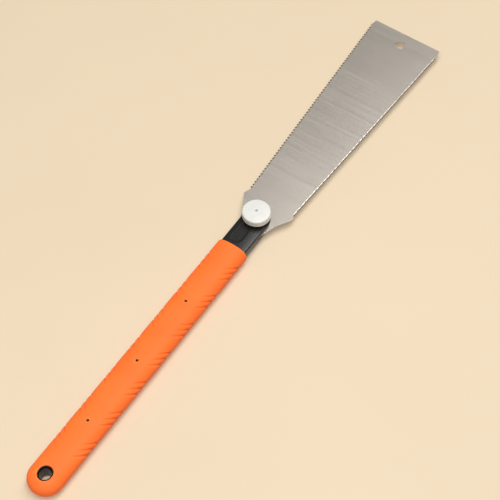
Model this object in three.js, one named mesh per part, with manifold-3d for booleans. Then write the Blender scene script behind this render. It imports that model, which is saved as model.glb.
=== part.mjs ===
// A double-edged pull saw: a thin toothed blade, held in the forked head of a long
// soft-gripped handle by one clamp knob. Millimetres, +X towards the blade's tip, +Z up.
// The saw is drawn around its clamp bolt (the bolt's axis is x = 0, y = 0) and its blade
// (the middle of the blade is z = 0); the whole group is then moved so that the origin
// is the middle of the saw's length and width, on the surface that the grip lies on.
import * as THREE from 'three';
import { mergeVertices } from 'three/addons/utils/BufferGeometryUtils.js';
import Module from 'manifold-3d';

const wasm = await Module();
wasm.setup();

// ---- Driving dimensions ------------------------------------------------------------

const GAP = 0.3; // between pieces that touch on the real saw
const OVERLAP = 1; // how far pieces to be joined, and cutters, run past each other

// Blade
const BLADE_THICKNESS = 0.6;
const TIP_X = 275;
const TIP_HALF_WIDTH = 37.4;
const TOOTH_END_X = 265.5;
const TOOTH_END_HALF_WIDTH = 39.2;
const TOOTH_START_HALF_WIDTH = 26.9;
const FINE_START_X = 24;
const FINE_PITCH = 3.0;
const FINE_DEPTH = 1.9;
const COARSE_START_X = 28.5;
const COARSE_PITCH = 3.65;
const COARSE_DEPTH = 2.1;
const TOOTH_LEAN = 0.3; // where a tooth's tip stands along its pitch, from the handle's side
const HEEL_X = 21.2;
const HEEL_HALF_WIDTH = 28.1;
const TANG_END_X = -35;
const TANG_HALF_WIDTH = 11.5;
const NECK_X = -16; // where the shoulders begin to spread from the tang
const TIP_HOLE_X = 260.2;
const TIP_HOLE_RADIUS = 4.75;
const TIP_CORNER_LENGTH = 1; // of the plain edge between the last tooth and the tip's corner

// A shoulder of the blade as [x, distance from the middle]: two Bezier curves end to end,
// from the neck to the heel.
const SHOULDER = [
  [NECK_X, TANG_HALF_WIDTH], [-12, 13.5], [-3, 15.6],
  [4, 18.8], [10, 21.2], [16.5, 27.2],
  [HEEL_X, HEEL_HALF_WIDTH],
];

// Handle
const GRIP_FRONT_X = -40;
const GRIP_END_X = -342;
const GRIP_HALF_THICKNESS = 10.25;
const GRIP_FRONT_HALF_WIDTH = 16;
const GRIP_REAR_HALF_WIDTH = 16.8;
const GRIP_ROUNDNESS = 2.5; // power of the superellipse section, 2 is an ellipse
const REST_FLAT_DEPTH = 0.25; // how far the lying flat cuts into the grip's underside
const PIN_HOLE_XS = [-115.5, -191, -264]; // where the mould held the core
const PIN_HOLE_RADIUS = 1.5;
const GRIP_TOP_ANGLE = THREE.MathUtils.degToRad(84); // where the section closes into its crown

const RIB_GROUPS = 7;
const RIBS_PER_GROUP = 3;
const FIRST_GROUP_X = -61.5;
const GROUP_PITCH = 36.5;
const RIB_PITCH = 7.2;
const RIB_DEPTH = 0.7;
const RIB_CUT_RADIUS = 2.2;
const RIB_SWEEP = 12; // how far a groove trails towards the grip's end as it climbs from the side
const RIB_TOP_ANGLE = THREE.MathUtils.degToRad(62);
const RIB_END_LIFT = 1.2; // how far a groove's ends are lifted out of the surface
const RIB_STEPS = 6;

const HEAD_HALF_WIDTH = 13.5;
const HEAD_HALF_THICKNESS = 6;
const HEAD_BEVEL = 1;
const NECK_HALF_WIDTH = 12;
const NECK_HALF_THICKNESS = 5.2;
const NECK_LENGTH = 12;
const SPINE_HALF_WIDTH = 10;
const SPINE_HALF_THICKNESS = 5;
const PANEL_DEPTH = 0.6;
const PANEL_HALF_WIDTH = 5;
const PANEL_Y = 2; // of its middle, towards the coarse-toothed edge
const PANEL_FRONT_X = -10.5;
const PANEL_REAR_X = -34.5;
const SLOT_CLEARANCE = 0.35; // between the blade's face and the jaw above or below it
const SLOT_SIDE_CLEARANCE = 0.4;
const SLOT_END_CLEARANCE = 1.5;
const CHEEK_SETBACK = 2; // of the fork's closed sides behind the blade's neck

const HANG_HOLE_STRAIGHT = 1.2; // the oval's straight length, between its two round ends
const HANG_HOLE_RADIUS = 6.75; // in the grip
const EYE_WALL = 1.2;
const EYE_HALF_HEIGHT = 9.4;
const EYE_WEB_RADIUS = 11;

// Clamp
const BOLT_RADIUS = 3;
const BOLT_CLEARANCE = 0.3;
const BOLT_TOP_Z = 15.6;
const BOLT_HEAD_RADIUS = 7;
const BOLT_HEAD_HEIGHT = 2.4;
const BOLT_HEAD_RECESS = 1;
const BOLT_HEAD_EDGE = 0.5; // the height of its straight edge, above its dome
const BOLT_END_CHAMFER = 0.2;
const BOLT_NECK_HALF = 3; // the square neck that keeps the bolt from turning
const BOLT_NECK_TOP_Z = -1;
const TANG_PIN_X = -24;
const TANG_PIN_HALF_LENGTH = 4;
const CLIP_THICKNESS = 0.6;
const CLIP_RADIUS = 4.6;
const CLIP_Z = 14.4;
const CLIP_GROOVE_DEPTH = 0.6;
const CLIP_SIDE_CLEARANCE = 0.2;
const CLIP_MOUTH_ANGLE = 0.6; // half of the angle that its open side takes
const WASHER_RADIUS = 9;
const WASHER_THICKNESS = 1;
const SPRING_WASHER_RADIUS = 5.6;
const SPRING_WASHER_THICKNESS = 1.2;
const SPLIT_WIDTH = 0.8;
const SPLIT_ANGLE = THREE.MathUtils.degToRad(25);
const KNOB_RADIUS = 13.7;
const KNOB_HEIGHT = 8;
const KNOB_BASE_HEIGHT = 3;
const KNOB_BASE_EDGE_RADIUS = 0.5;
const KNOB_FLOOR = 0.7;
const KNOB_CAP_WALL = 1.2;
const KNOB_CAVITY_RADIUS = 7.5;
const KNOB_EDGE_RADIUS = 1.6;
const KNOB_DOME = 0.7; // how far the middle of the cap stands above its edge
const DIMPLE_RADIUS = 1.1;
const DIMPLE_DEPTH = 0.4;
const NUT_FLATS = 10;
const NUT_HEIGHT = 2.6;

// ---- Worked out from the dimensions above ------------------------------------------

const BOLT_HOLE_RADIUS = BOLT_RADIUS + BOLT_CLEARANCE;
const HEAD_REAR_X = GRIP_FRONT_X + GAP;
const NECK_REAR_X = HEAD_REAR_X - NECK_LENGTH;
const POCKET_REAR_X = TANG_END_X - SLOT_END_CLEARANCE;
const CHEEK_FRONT_X = NECK_X - CHEEK_SETBACK; // the fork is open at its sides ahead of here
const FORK_HALF_HEIGHT = BLADE_THICKNESS / 2 + SLOT_CLEARANCE;
const HANG_HOLE_X = GRIP_END_X + GRIP_REAR_HALF_WIDTH;
const WASHER_Z = HEAD_HALF_THICKNESS + GAP;
const SPRING_WASHER_Z = WASHER_Z + WASHER_THICKNESS + GAP;
const KNOB_Z = SPRING_WASHER_Z + SPRING_WASHER_THICKNESS + GAP;
const KNOB_TOP_Z = KNOB_Z + KNOB_HEIGHT;
const KNOB_CAP_Z = KNOB_Z + KNOB_BASE_HEIGHT + GAP;
const NUT_Z = KNOB_Z + KNOB_FLOOR + GAP;
const REST_Z = -GRIP_HALF_THICKNESS + REST_FLAT_DEPTH;
const BOLT_SEAT_Z = -HEAD_HALF_THICKNESS + BOLT_HEAD_RECESS - GAP;

// How finely round shapes are faceted.
const ROUND_STEPS = 32;
const PIN_HOLE_SIDES = 16;
const ARC_SEGMENTS = 8;
const BEVEL_SEGMENTS = 2;
const DOME_STEPS = 4;
const RIB_SECTION_SEGMENTS = 3;
const GRIP_LEVEL_STEPS = 11;
const GRIP_END_STEPS = 12;

// ---- Materials ---------------------------------------------------------------------

const bladeSteel = new THREE.MeshStandardMaterial({ color: 0xb8b0a4, roughness: 0.38, metalness: 0.9 });
const zincSteel = new THREE.MeshStandardMaterial({ color: 0xb9bcc0, roughness: 0.3, metalness: 0.95 });
const brass = new THREE.MeshStandardMaterial({ color: 0xc9a24a, roughness: 0.35, metalness: 0.9 });
const orangeRubber = new THREE.MeshStandardMaterial({ color: 0xff7a2e, roughness: 0.6, metalness: 0 });
const blackPlastic = new THREE.MeshStandardMaterial({ color: 0x17171a, roughness: 0.25, metalness: 0 });
const whitePlastic = new THREE.MeshStandardMaterial({ color: 0xf4f4f0, roughness: 0.35, metalness: 0 });

// ---- Solids ------------------------------------------------------------------------

// Makes a manifold-3d solid from a closed three.js geometry.
function solid(geometry) {
  const bare = geometry.clone();
  bare.deleteAttribute('normal');
  bare.deleteAttribute('uv');
  const merged = mergeVertices(bare, 1e-4);
  return new wasm.Manifold(new wasm.Mesh({
    numProp: 3,
    vertProperties: new Float32Array(merged.attributes.position.array),
    triVerts: new Uint32Array(merged.index.array),
  }));
}

function geometryOf(manifold) {
  const mesh = manifold.getMesh();
  const geometry = new THREE.BufferGeometry();
  geometry.setAttribute('position', new THREE.BufferAttribute(mesh.vertProperties, 3));
  geometry.setIndex(new THREE.BufferAttribute(mesh.triVerts, 1));
  geometry.computeVertexNormals();
  return geometry;
}

// Adds the second and later solids to the first.
function joined(first, ...others) {
  return others.reduce((sum, other) => sum.add(other), first);
}

// Cuts the second and later solids out of the first.
function cut(first, ...others) {
  return others.reduce((left, other) => left.subtract(other), first);
}

function mesh(name, geometry, material) {
  const piece = new THREE.Mesh(geometry, material);
  piece.name = name;
  return piece;
}

// An outline in the XY plane, raised from zLow to zHigh, with bevelled top and bottom edges.
function slab(outline, zLow, zHigh, bevel = 0, curveSegments = ARC_SEGMENTS) {
  const geometry = new THREE.ExtrudeGeometry(outline, {
    depth: zHigh - zLow - 2 * bevel,
    bevelEnabled: bevel > 0,
    bevelThickness: bevel,
    bevelSize: bevel,
    bevelOffset: -bevel,
    bevelSegments: BEVEL_SEGMENTS,
    curveSegments,
  });
  return geometry.translate(0, 0, zLow + bevel);
}

function box(xLow, xHigh, halfWidth, zLow, zHigh) {
  const geometry = new THREE.BoxGeometry(xHigh - xLow, 2 * halfWidth, zHigh - zLow);
  return geometry.translate((xLow + xHigh) / 2, 0, (zLow + zHigh) / 2);
}

function cylinder(x, radius, zLow, zHigh, sides = ROUND_STEPS) {
  const geometry = new THREE.CylinderGeometry(radius, radius, zHigh - zLow, sides);
  return geometry.rotateX(Math.PI / 2).translate(x, 0, (zLow + zHigh) / 2);
}

// A solid of revolution about the clamp's axis from [radius, z] points.
function turned(points) {
  const profile = points.map(([radius, z]) => new THREE.Vector2(radius, z));
  return new THREE.LatheGeometry(profile, ROUND_STEPS).rotateX(Math.PI / 2);
}

// Points of a quarter round from one angle to another, as [radius, z] pairs.
function roundedEdge(centreRadius, centreZ, edgeRadius, fromAngle, toAngle) {
  return Array.from({ length: DOME_STEPS + 1 }, (_, i) => {
    const angle = fromAngle + ((toAngle - fromAngle) * i) / DOME_STEPS;
    return [centreRadius + edgeRadius * Math.cos(angle), centreZ + edgeRadius * Math.sin(angle)];
  });
}

// Points of a dome's quarter ellipse from its middle to its edge, as [radius, z] pairs.
function domed(edgeRadius, middleZ, edgeZ) {
  return Array.from({ length: DOME_STEPS + 1 }, (_, i) => {
    const angle = (Math.PI / 2) * (i / DOME_STEPS);
    return [edgeRadius * Math.sin(angle), edgeZ + (middleZ - edgeZ) * Math.cos(angle)];
  });
}

// An oval with two half-round ends and straight sides along X.
function oval(centreX, straight, radius) {
  const outline = new THREE.Shape();
  outline.absarc(centreX + straight / 2, 0, radius, -Math.PI / 2, Math.PI / 2, false);
  outline.absarc(centreX - straight / 2, 0, radius, Math.PI / 2, (3 * Math.PI) / 2, false);
  outline.closePath();
  return outline;
}

// ---- Blade -------------------------------------------------------------------------

// Adds Bezier curves through [x, distance from the middle] points, on the side of Y given
// by its sign. The outline already stands at the first point.
function addCurves(outline, points, side) {
  for (let i = 1; i + 2 < points.length; i += 3) {
    const [first, second, end] = points.slice(i, i + 3);
    outline.bezierCurveTo(first[0], side * first[1], second[0], side * second[1], end[0], side * end[1]);
  }
}

// Adds one toothed edge to the outline, from its first gullet to its last. The edge runs
// anticlockwise, so the blade lies to its left. tipShare places the tip along the pitch.
function addTeeth(outline, from, to, pitch, depth, tipShare) {
  const count = Math.round(from.distanceTo(to) / pitch);
  const step = to.clone().sub(from).divideScalar(count);
  const inward = new THREE.Vector2(-step.y, step.x).setLength(depth);
  for (let i = 0; i < count; i += 1) {
    const start = from.clone().addScaledVector(step, i);
    const tip = start.clone().addScaledVector(step, tipShare);
    outline.lineTo(start.x + inward.x, start.y + inward.y);
    outline.lineTo(tip.x, tip.y);
  }
  outline.lineTo(to.x + inward.x, to.y + inward.y);
}

function bladeOutline() {
  const cornerX = TOOTH_END_X + TIP_CORNER_LENGTH;
  const outline = new THREE.Shape();
  outline.moveTo(TANG_END_X, -BOLT_HOLE_RADIUS);
  outline.lineTo(TANG_END_X, -TANG_HALF_WIDTH);
  outline.lineTo(NECK_X, -TANG_HALF_WIDTH);
  addCurves(outline, SHOULDER, -1);
  addTeeth(
    outline,
    new THREE.Vector2(FINE_START_X, -TOOTH_START_HALF_WIDTH),
    new THREE.Vector2(TOOTH_END_X, -TOOTH_END_HALF_WIDTH),
    FINE_PITCH,
    FINE_DEPTH,
    TOOTH_LEAN,
  );
  outline.lineTo(cornerX, -TOOTH_END_HALF_WIDTH);
  outline.lineTo(TIP_X, -TIP_HALF_WIDTH);
  outline.lineTo(TIP_X, TIP_HALF_WIDTH);
  outline.lineTo(cornerX, TOOTH_END_HALF_WIDTH);
  addTeeth(
    outline,
    new THREE.Vector2(TOOTH_END_X, TOOTH_END_HALF_WIDTH),
    new THREE.Vector2(COARSE_START_X, TOOTH_START_HALF_WIDTH),
    COARSE_PITCH,
    COARSE_DEPTH,
    1 - TOOTH_LEAN,
  );
  outline.lineTo(HEEL_X, HEEL_HALF_WIDTH);
  addCurves(outline, [...SHOULDER].reverse(), 1);
  outline.lineTo(TANG_END_X, TANG_HALF_WIDTH);
  outline.lineTo(TANG_END_X, BOLT_HOLE_RADIUS);
  outline.absarc(0, 0, BOLT_HOLE_RADIUS, Math.PI / 2, -Math.PI / 2, true);
  outline.closePath();
  return outline;
}

function makeBlade() {
  const outline = bladeOutline();
  const hole = new THREE.Path();
  hole.absarc(TIP_HOLE_X, 0, TIP_HOLE_RADIUS, 0, 2 * Math.PI, true);
  outline.holes.push(hole);
  const half = BLADE_THICKNESS / 2;
  return mesh('blade', slab(outline, -half, half, 0, ROUND_STEPS / 2), bladeSteel);
}

// ---- Handle core -------------------------------------------------------------------

function headOutline() {
  const outline = new THREE.Shape();
  outline.moveTo(HEAD_REAR_X, -HEAD_HALF_WIDTH);
  outline.lineTo(0, -HEAD_HALF_WIDTH);
  outline.absarc(0, 0, HEAD_HALF_WIDTH, -Math.PI / 2, Math.PI / 2, false);
  outline.lineTo(HEAD_REAR_X, HEAD_HALF_WIDTH);
  outline.closePath();
  return outline;
}

// The pieces of the core that the grip is moulded around, grown by a gap on every side.
function coreInsideGrip(grow) {
  const webRadius = EYE_WEB_RADIUS + grow;
  const eyeRadius = HANG_HOLE_RADIUS - GAP + grow;
  return joined(
    solid(box(NECK_REAR_X - grow, HEAD_REAR_X + OVERLAP, NECK_HALF_WIDTH + grow,
      -NECK_HALF_THICKNESS - grow, NECK_HALF_THICKNESS + grow)),
    solid(box(HANG_HOLE_X, NECK_REAR_X + OVERLAP, SPINE_HALF_WIDTH + grow,
      -SPINE_HALF_THICKNESS - grow, SPINE_HALF_THICKNESS + grow)),
    solid(slab(oval(HANG_HOLE_X, HANG_HOLE_STRAIGHT, webRadius),
      -SPINE_HALF_THICKNESS - grow, SPINE_HALF_THICKNESS + grow)),
    solid(slab(oval(HANG_HOLE_X, HANG_HOLE_STRAIGHT, eyeRadius),
      -EYE_HALF_HEIGHT - grow, EYE_HALF_HEIGHT + grow)),
  );
}

// The gap between the jaws: open at the sides in front, closed by cheeks behind.
function bladeSlot() {
  const reach = HEAD_HALF_WIDTH + OVERLAP;
  const pocketFrontX = CHEEK_FRONT_X + OVERLAP;
  const pocketHalfWidth = TANG_HALF_WIDTH + SLOT_SIDE_CLEARANCE;
  return joined(
    solid(box(CHEEK_FRONT_X, reach, reach, -FORK_HALF_HEIGHT, FORK_HALF_HEIGHT)),
    solid(box(POCKET_REAR_X, pocketFrontX, pocketHalfWidth, -FORK_HALF_HEIGHT, FORK_HALF_HEIGHT)),
  );
}

function panelRecess(zLow, zHigh) {
  const straight = PANEL_FRONT_X - PANEL_REAR_X - 2 * PANEL_HALF_WIDTH;
  const centreX = (PANEL_FRONT_X + PANEL_REAR_X) / 2;
  return solid(slab(oval(centreX, straight, PANEL_HALF_WIDTH), zLow, zHigh).translate(0, PANEL_Y, 0));
}

function makeCore() {
  const top = HEAD_HALF_THICKNESS;
  const head = solid(slab(headOutline(), -top, top, HEAD_BEVEL));
  const pinReach = TANG_PIN_HALF_LENGTH + GAP;
  const neckSide = BOLT_NECK_HALF + BOLT_CLEARANCE;
  const hangRadius = HANG_HOLE_RADIUS - GAP - EYE_WALL;
  const core = cut(
    joined(head, coreInsideGrip(0)),
    bladeSlot(),
    solid(cylinder(0, BOLT_HOLE_RADIUS, 0, top + OVERLAP)),
    solid(box(-neckSide, neckSide, neckSide, -top - OVERLAP, 0)),
    solid(cylinder(0, BOLT_HEAD_RADIUS + GAP, -top - OVERLAP, -top + BOLT_HEAD_RECESS)),
    solid(cylinder(TANG_PIN_X, BOLT_HOLE_RADIUS, -pinReach, pinReach)),
    solid(slab(oval(HANG_HOLE_X, HANG_HOLE_STRAIGHT, hangRadius), -2 * top, 2 * top)),
    panelRecess(top - PANEL_DEPTH, top + OVERLAP),
    panelRecess(-top - OVERLAP, -top + PANEL_DEPTH),
  );
  return mesh('handle_core', geometryOf(core), blackPlastic);
}

// ---- Grip --------------------------------------------------------------------------

// The grip's section is a superellipse: for an angle from its widest point (0) to its
// top (90 degrees), the share of the full half-width and of the full half-thickness.
function sectionAt(angle) {
  const power = 2 / GRIP_ROUNDNESS;
  return {
    width: Math.cos(angle) ** power,
    height: Math.sign(angle) * Math.abs(Math.sin(angle)) ** power,
  };
}

function gripHalfWidth(x) {
  const share = (x - GRIP_FRONT_X) / (HANG_HOLE_X - GRIP_FRONT_X);
  return THREE.MathUtils.lerp(GRIP_FRONT_HALF_WIDTH, GRIP_REAR_HALF_WIDTH, share);
}

// One level of the grip, seen from above: a long U with a round end around the hanging hole.
function gripLevel(widthShare, z) {
  const points = [[GRIP_FRONT_X, -GRIP_FRONT_HALF_WIDTH * widthShare, z]];
  for (let i = 0; i <= GRIP_END_STEPS; i += 1) {
    const angle = -Math.PI / 2 - (Math.PI * i) / GRIP_END_STEPS;
    const radius = GRIP_REAR_HALF_WIDTH * widthShare;
    points.push([HANG_HOLE_X + radius * Math.cos(angle), radius * Math.sin(angle), z]);
  }
  points.push([GRIP_FRONT_X, GRIP_FRONT_HALF_WIDTH * widthShare, z]);
  return points;
}

// Levels from the lying flat to the crown, as rings of equal length.
function gripLevels() {
  const levels = [];
  const lowest = -Math.asin((1 - REST_FLAT_DEPTH / GRIP_HALF_THICKNESS) ** (GRIP_ROUNDNESS / 2));
  for (let i = 0; i <= GRIP_LEVEL_STEPS; i += 1) {
    const angle = THREE.MathUtils.lerp(lowest, GRIP_TOP_ANGLE, i / GRIP_LEVEL_STEPS);
    const { width, height } = sectionAt(angle);
    levels.push(gripLevel(width, height * GRIP_HALF_THICKNESS));
  }
  return levels;
}

// Joins rings of equal length, listed clockwise seen from above and from low to high,
// into one closed body with a fan for its floor and its roof.
function loft(levels) {
  const ringLength = levels[0].length;
  const positions = levels.flat(2);
  const index = [];
  for (let level = 0; level + 1 < levels.length; level += 1) {
    for (let i = 0; i < ringLength; i += 1) {
      const next = (i + 1) % ringLength;
      const low = level * ringLength;
      const high = low + ringLength;
      index.push(low + i, high + i, low + next);
      index.push(low + next, high + i, high + next);
    }
  }
  const roof = (levels.length - 1) * ringLength;
  for (let i = 1; i + 1 < ringLength; i += 1) {
    index.push(0, i, i + 1);
    index.push(roof, roof + i + 1, roof + i);
  }
  const geometry = new THREE.BufferGeometry();
  geometry.setAttribute('position', new THREE.Float32BufferAttribute(positions, 3));
  geometry.setIndex(index);
  return geometry;
}

// One groove: a round bar swept over the grip's side, from its underside to its crown. It
// slants towards the grip's end as it climbs, is deepest at the side and leaves the surface
// at its ends.
function ribCutter(x, side) {
  const middle = [];
  for (let i = 0; i <= RIB_STEPS; i += 1) {
    const turn = (2 * i) / RIB_STEPS - 1;
    const { width, height } = sectionAt(turn * RIB_TOP_ANGLE);
    const localX = x - RIB_SWEEP * turn;
    const y = gripHalfWidth(localX) * width;
    const z = GRIP_HALF_THICKNESS * height;
    const lift = RIB_CUT_RADIUS - RIB_DEPTH + RIB_END_LIFT * turn ** 4;
    const length = Math.hypot(y, z);
    middle.push(new THREE.Vector3(localX, side * (y + (lift * y) / length), z + (lift * z) / length));
  }
  const section = new THREE.Shape().absarc(0, 0, RIB_CUT_RADIUS, 0, 2 * Math.PI, false);
  return new THREE.ExtrudeGeometry(section, {
    extrudePath: new THREE.CatmullRomCurve3(middle),
    steps: RIB_STEPS,
    curveSegments: RIB_SECTION_SEGMENTS,
    bevelEnabled: false,
  });
}

function ribCutters() {
  const cutters = [];
  for (let group = 0; group < RIB_GROUPS; group += 1) {
    for (let rib = 0; rib < RIBS_PER_GROUP; rib += 1) {
      const offset = (rib - (RIBS_PER_GROUP - 1) / 2) * RIB_PITCH;
      const x = FIRST_GROUP_X - group * GROUP_PITCH + offset;
      cutters.push(solid(ribCutter(x, 1)), solid(ribCutter(x, -1)));
    }
  }
  return cutters;
}

function makeGrip() {
  const reach = GRIP_HALF_THICKNESS + OVERLAP;
  const pinHoles = PIN_HOLE_XS.map((x) => solid(cylinder(x, PIN_HOLE_RADIUS, -reach, reach, PIN_HOLE_SIDES)));
  const hangHole = solid(slab(oval(HANG_HOLE_X, HANG_HOLE_STRAIGHT, HANG_HOLE_RADIUS), -reach, reach));
  const grip = cut(solid(loft(gripLevels())), coreInsideGrip(GAP), hangHole, ...pinHoles, ...ribCutters());
  return mesh('grip_sleeve', geometryOf(grip), orangeRubber);
}

// ---- Clamp -------------------------------------------------------------------------

function makeBolt() {
  const seat = BOLT_SEAT_Z;
  const grooveRadius = BOLT_RADIUS - CLIP_GROOVE_DEPTH;
  const grooveLow = CLIP_Z - CLIP_SIDE_CLEARANCE;
  const grooveHigh = CLIP_Z + CLIP_THICKNESS + CLIP_SIDE_CLEARANCE;
  const shank = turned([
    ...domed(BOLT_HEAD_RADIUS, seat - BOLT_HEAD_HEIGHT, seat - BOLT_HEAD_EDGE),
    [BOLT_HEAD_RADIUS, seat],
    [BOLT_RADIUS, seat],
    [BOLT_RADIUS, grooveLow],
    [grooveRadius, grooveLow],
    [grooveRadius, grooveHigh],
    [BOLT_RADIUS, grooveHigh],
    [BOLT_RADIUS, BOLT_TOP_Z - BOLT_END_CHAMFER],
    [BOLT_RADIUS - BOLT_END_CHAMFER, BOLT_TOP_Z],
    [0, BOLT_TOP_Z],
  ]);
  const neckLow = seat - BOLT_HEAD_EDGE / 2;
  const squareNeck = box(-BOLT_NECK_HALF, BOLT_NECK_HALF, BOLT_NECK_HALF, neckLow, BOLT_NECK_TOP_Z);
  return mesh('clamp_bolt', geometryOf(joined(solid(shank), solid(squareNeck))), zincSteel);
}

function makeTangPin() {
  const geometry = cylinder(TANG_PIN_X, BOLT_RADIUS, -TANG_PIN_HALF_LENGTH, TANG_PIN_HALF_LENGTH);
  return mesh('tang_pin', geometry, zincSteel);
}

// The retaining clip that stops the knob from leaving the bolt: a ring with an open side.
function makeClip() {
  const inner = BOLT_RADIUS - CLIP_GROOVE_DEPTH + GAP;
  const mouth = CLIP_MOUTH_ANGLE;
  const outline = new THREE.Shape();
  outline.absarc(0, 0, CLIP_RADIUS, mouth, 2 * Math.PI - mouth, false);
  outline.absarc(0, 0, inner, 2 * Math.PI - mouth, mouth, true);
  outline.closePath();
  const clip = slab(outline, CLIP_Z, CLIP_Z + CLIP_THICKNESS, 0, ROUND_STEPS / 2);
  return mesh('bolt_clip', clip, zincSteel);
}

function ring(radius, holeRadius) {
  const outline = new THREE.Shape();
  outline.absarc(0, 0, radius, 0, 2 * Math.PI, false);
  const hole = new THREE.Path();
  hole.absarc(0, 0, holeRadius, 0, 2 * Math.PI, true);
  outline.holes.push(hole);
  return outline;
}

function makeFlatWasher() {
  const outline = ring(WASHER_RADIUS, BOLT_HOLE_RADIUS);
  const top = WASHER_Z + WASHER_THICKNESS;
  return mesh('flat_washer', slab(outline, WASHER_Z, top, 0, ROUND_STEPS / 2), zincSteel);
}

function makeSpringWasher() {
  const top = SPRING_WASHER_Z + SPRING_WASHER_THICKNESS;
  const outline = ring(SPRING_WASHER_RADIUS, BOLT_HOLE_RADIUS);
  const body = solid(slab(outline, SPRING_WASHER_Z, top, 0, ROUND_STEPS / 2));
  const splitHeight = 4 * SPRING_WASHER_THICKNESS; // long enough to cut through, leaning
  const split = new THREE.BoxGeometry(2 * SPRING_WASHER_RADIUS, SPLIT_WIDTH, splitHeight);
  split.rotateX(SPLIT_ANGLE);
  split.translate(SPRING_WASHER_RADIUS, 0, (SPRING_WASHER_Z + top) / 2);
  return mesh('spring_washer', geometryOf(cut(body, solid(split))), zincSteel);
}

function hexagon(acrossFlats) {
  const corner = acrossFlats / Math.sqrt(3);
  const outline = new THREE.Shape();
  for (let i = 0; i < 6; i += 1) {
    const angle = (i * Math.PI) / 3;
    outline.lineTo(corner * Math.cos(angle), corner * Math.sin(angle));
  }
  outline.closePath();
  return outline;
}

function makeKnobNut() {
  const nut = cut(
    solid(slab(hexagon(NUT_FLATS), NUT_Z, NUT_Z + NUT_HEIGHT)),
    solid(cylinder(0, BOLT_HOLE_RADIUS, NUT_Z - OVERLAP, NUT_Z + NUT_HEIGHT + OVERLAP)),
  );
  return mesh('knob_nut', geometryOf(nut), brass);
}

// The lower part of the knob: a rim with a hexagonal pocket that turns the nut.
function makeKnobBase() {
  const top = KNOB_Z + KNOB_BASE_HEIGHT;
  const edge = KNOB_BASE_EDGE_RADIUS;
  const rim = turned([
    [0, KNOB_Z],
    ...roundedEdge(KNOB_RADIUS - edge, KNOB_Z + edge, edge, -Math.PI / 2, 0),
    [KNOB_RADIUS, top],
    [0, top],
  ]);
  const base = cut(
    solid(rim),
    solid(slab(hexagon(NUT_FLATS + 2 * GAP), KNOB_Z + KNOB_FLOOR, top + OVERLAP)),
    solid(cylinder(0, BOLT_HOLE_RADIUS, KNOB_Z - OVERLAP, top)),
  );
  return mesh('knob_base', geometryOf(base), whitePlastic);
}

// The upper part of the knob: a shallow domed cap, hollow over the end of the bolt.
function makeKnobCap() {
  const domeRadius = KNOB_RADIUS - KNOB_EDGE_RADIUS;
  const domeEdgeZ = KNOB_TOP_Z - KNOB_DOME;
  const ceiling = KNOB_TOP_Z - KNOB_CAP_WALL;
  const cap = turned([
    [0, ceiling],
    [KNOB_CAVITY_RADIUS, ceiling],
    [KNOB_CAVITY_RADIUS, KNOB_CAP_Z],
    [KNOB_RADIUS, KNOB_CAP_Z],
    ...roundedEdge(domeRadius, domeEdgeZ - KNOB_EDGE_RADIUS, KNOB_EDGE_RADIUS, 0, Math.PI / 2),
    [domeRadius / 2, KNOB_TOP_Z - KNOB_DOME / 4], // on the dome's parabola
    [DIMPLE_RADIUS, KNOB_TOP_Z],
    [0, KNOB_TOP_Z - DIMPLE_DEPTH],
  ]);
  return mesh('knob_cap', cap, whitePlastic);
}

// ---- The saw -----------------------------------------------------------------------

const handle = new THREE.Group();
handle.add(makeCore(), makeGrip(), makeBolt(), makeTangPin(), makeClip());

const clamp = new THREE.Group();
clamp.add(makeFlatWasher(), makeSpringWasher(), makeKnobBase(), makeKnobNut(), makeKnobCap());

const saw = new THREE.Group();
saw.add(handle, clamp, makeBlade());
saw.position.set(-(TIP_X + GRIP_END_X) / 2, 0, -REST_Z);

export default saw;
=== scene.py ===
"""The looks of a double-edged pull saw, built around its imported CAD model.

Shapes are drawn in millimetres from the saw's own centre: the axis of its clamp bolt
(x = 0, y = 0) in the middle of the blade's thickness (z = 0). +X is towards the blade's
tip, +Y towards its coarse teeth and +Z up, out of the knob.
"""

import math

import bmesh
import bpy
from mathutils import Matrix, Vector
from mathutils.geometry import tessellate_polygon


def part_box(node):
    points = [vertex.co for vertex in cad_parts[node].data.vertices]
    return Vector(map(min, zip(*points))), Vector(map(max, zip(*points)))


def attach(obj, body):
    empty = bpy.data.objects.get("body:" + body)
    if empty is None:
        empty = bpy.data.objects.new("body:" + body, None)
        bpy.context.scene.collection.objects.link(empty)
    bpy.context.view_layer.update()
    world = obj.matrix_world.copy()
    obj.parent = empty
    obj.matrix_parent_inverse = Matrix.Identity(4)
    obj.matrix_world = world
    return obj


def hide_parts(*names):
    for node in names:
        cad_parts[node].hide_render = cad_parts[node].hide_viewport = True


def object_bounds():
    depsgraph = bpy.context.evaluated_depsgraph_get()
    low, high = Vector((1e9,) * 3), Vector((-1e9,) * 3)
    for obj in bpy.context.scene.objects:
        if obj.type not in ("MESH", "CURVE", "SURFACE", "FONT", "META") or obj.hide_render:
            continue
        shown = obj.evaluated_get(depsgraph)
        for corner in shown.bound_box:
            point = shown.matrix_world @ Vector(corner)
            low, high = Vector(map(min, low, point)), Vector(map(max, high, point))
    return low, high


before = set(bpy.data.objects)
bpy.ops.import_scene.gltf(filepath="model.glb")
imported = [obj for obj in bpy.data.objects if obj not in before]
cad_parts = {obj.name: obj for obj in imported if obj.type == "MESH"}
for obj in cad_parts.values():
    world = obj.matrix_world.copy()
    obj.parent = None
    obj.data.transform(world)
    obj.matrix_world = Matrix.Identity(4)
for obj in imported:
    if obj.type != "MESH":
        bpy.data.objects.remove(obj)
cad_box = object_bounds()

MM = 0.001

# ---- Places, from the frame ----


def middle(node):
    """The middle of a CAD node's box, in metres from the frame's origin."""
    low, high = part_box(node)
    return (low + high) / 2


CENTRE = Vector((middle("knob_cap").x, middle("knob_cap").y, middle("blade").z))


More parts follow.
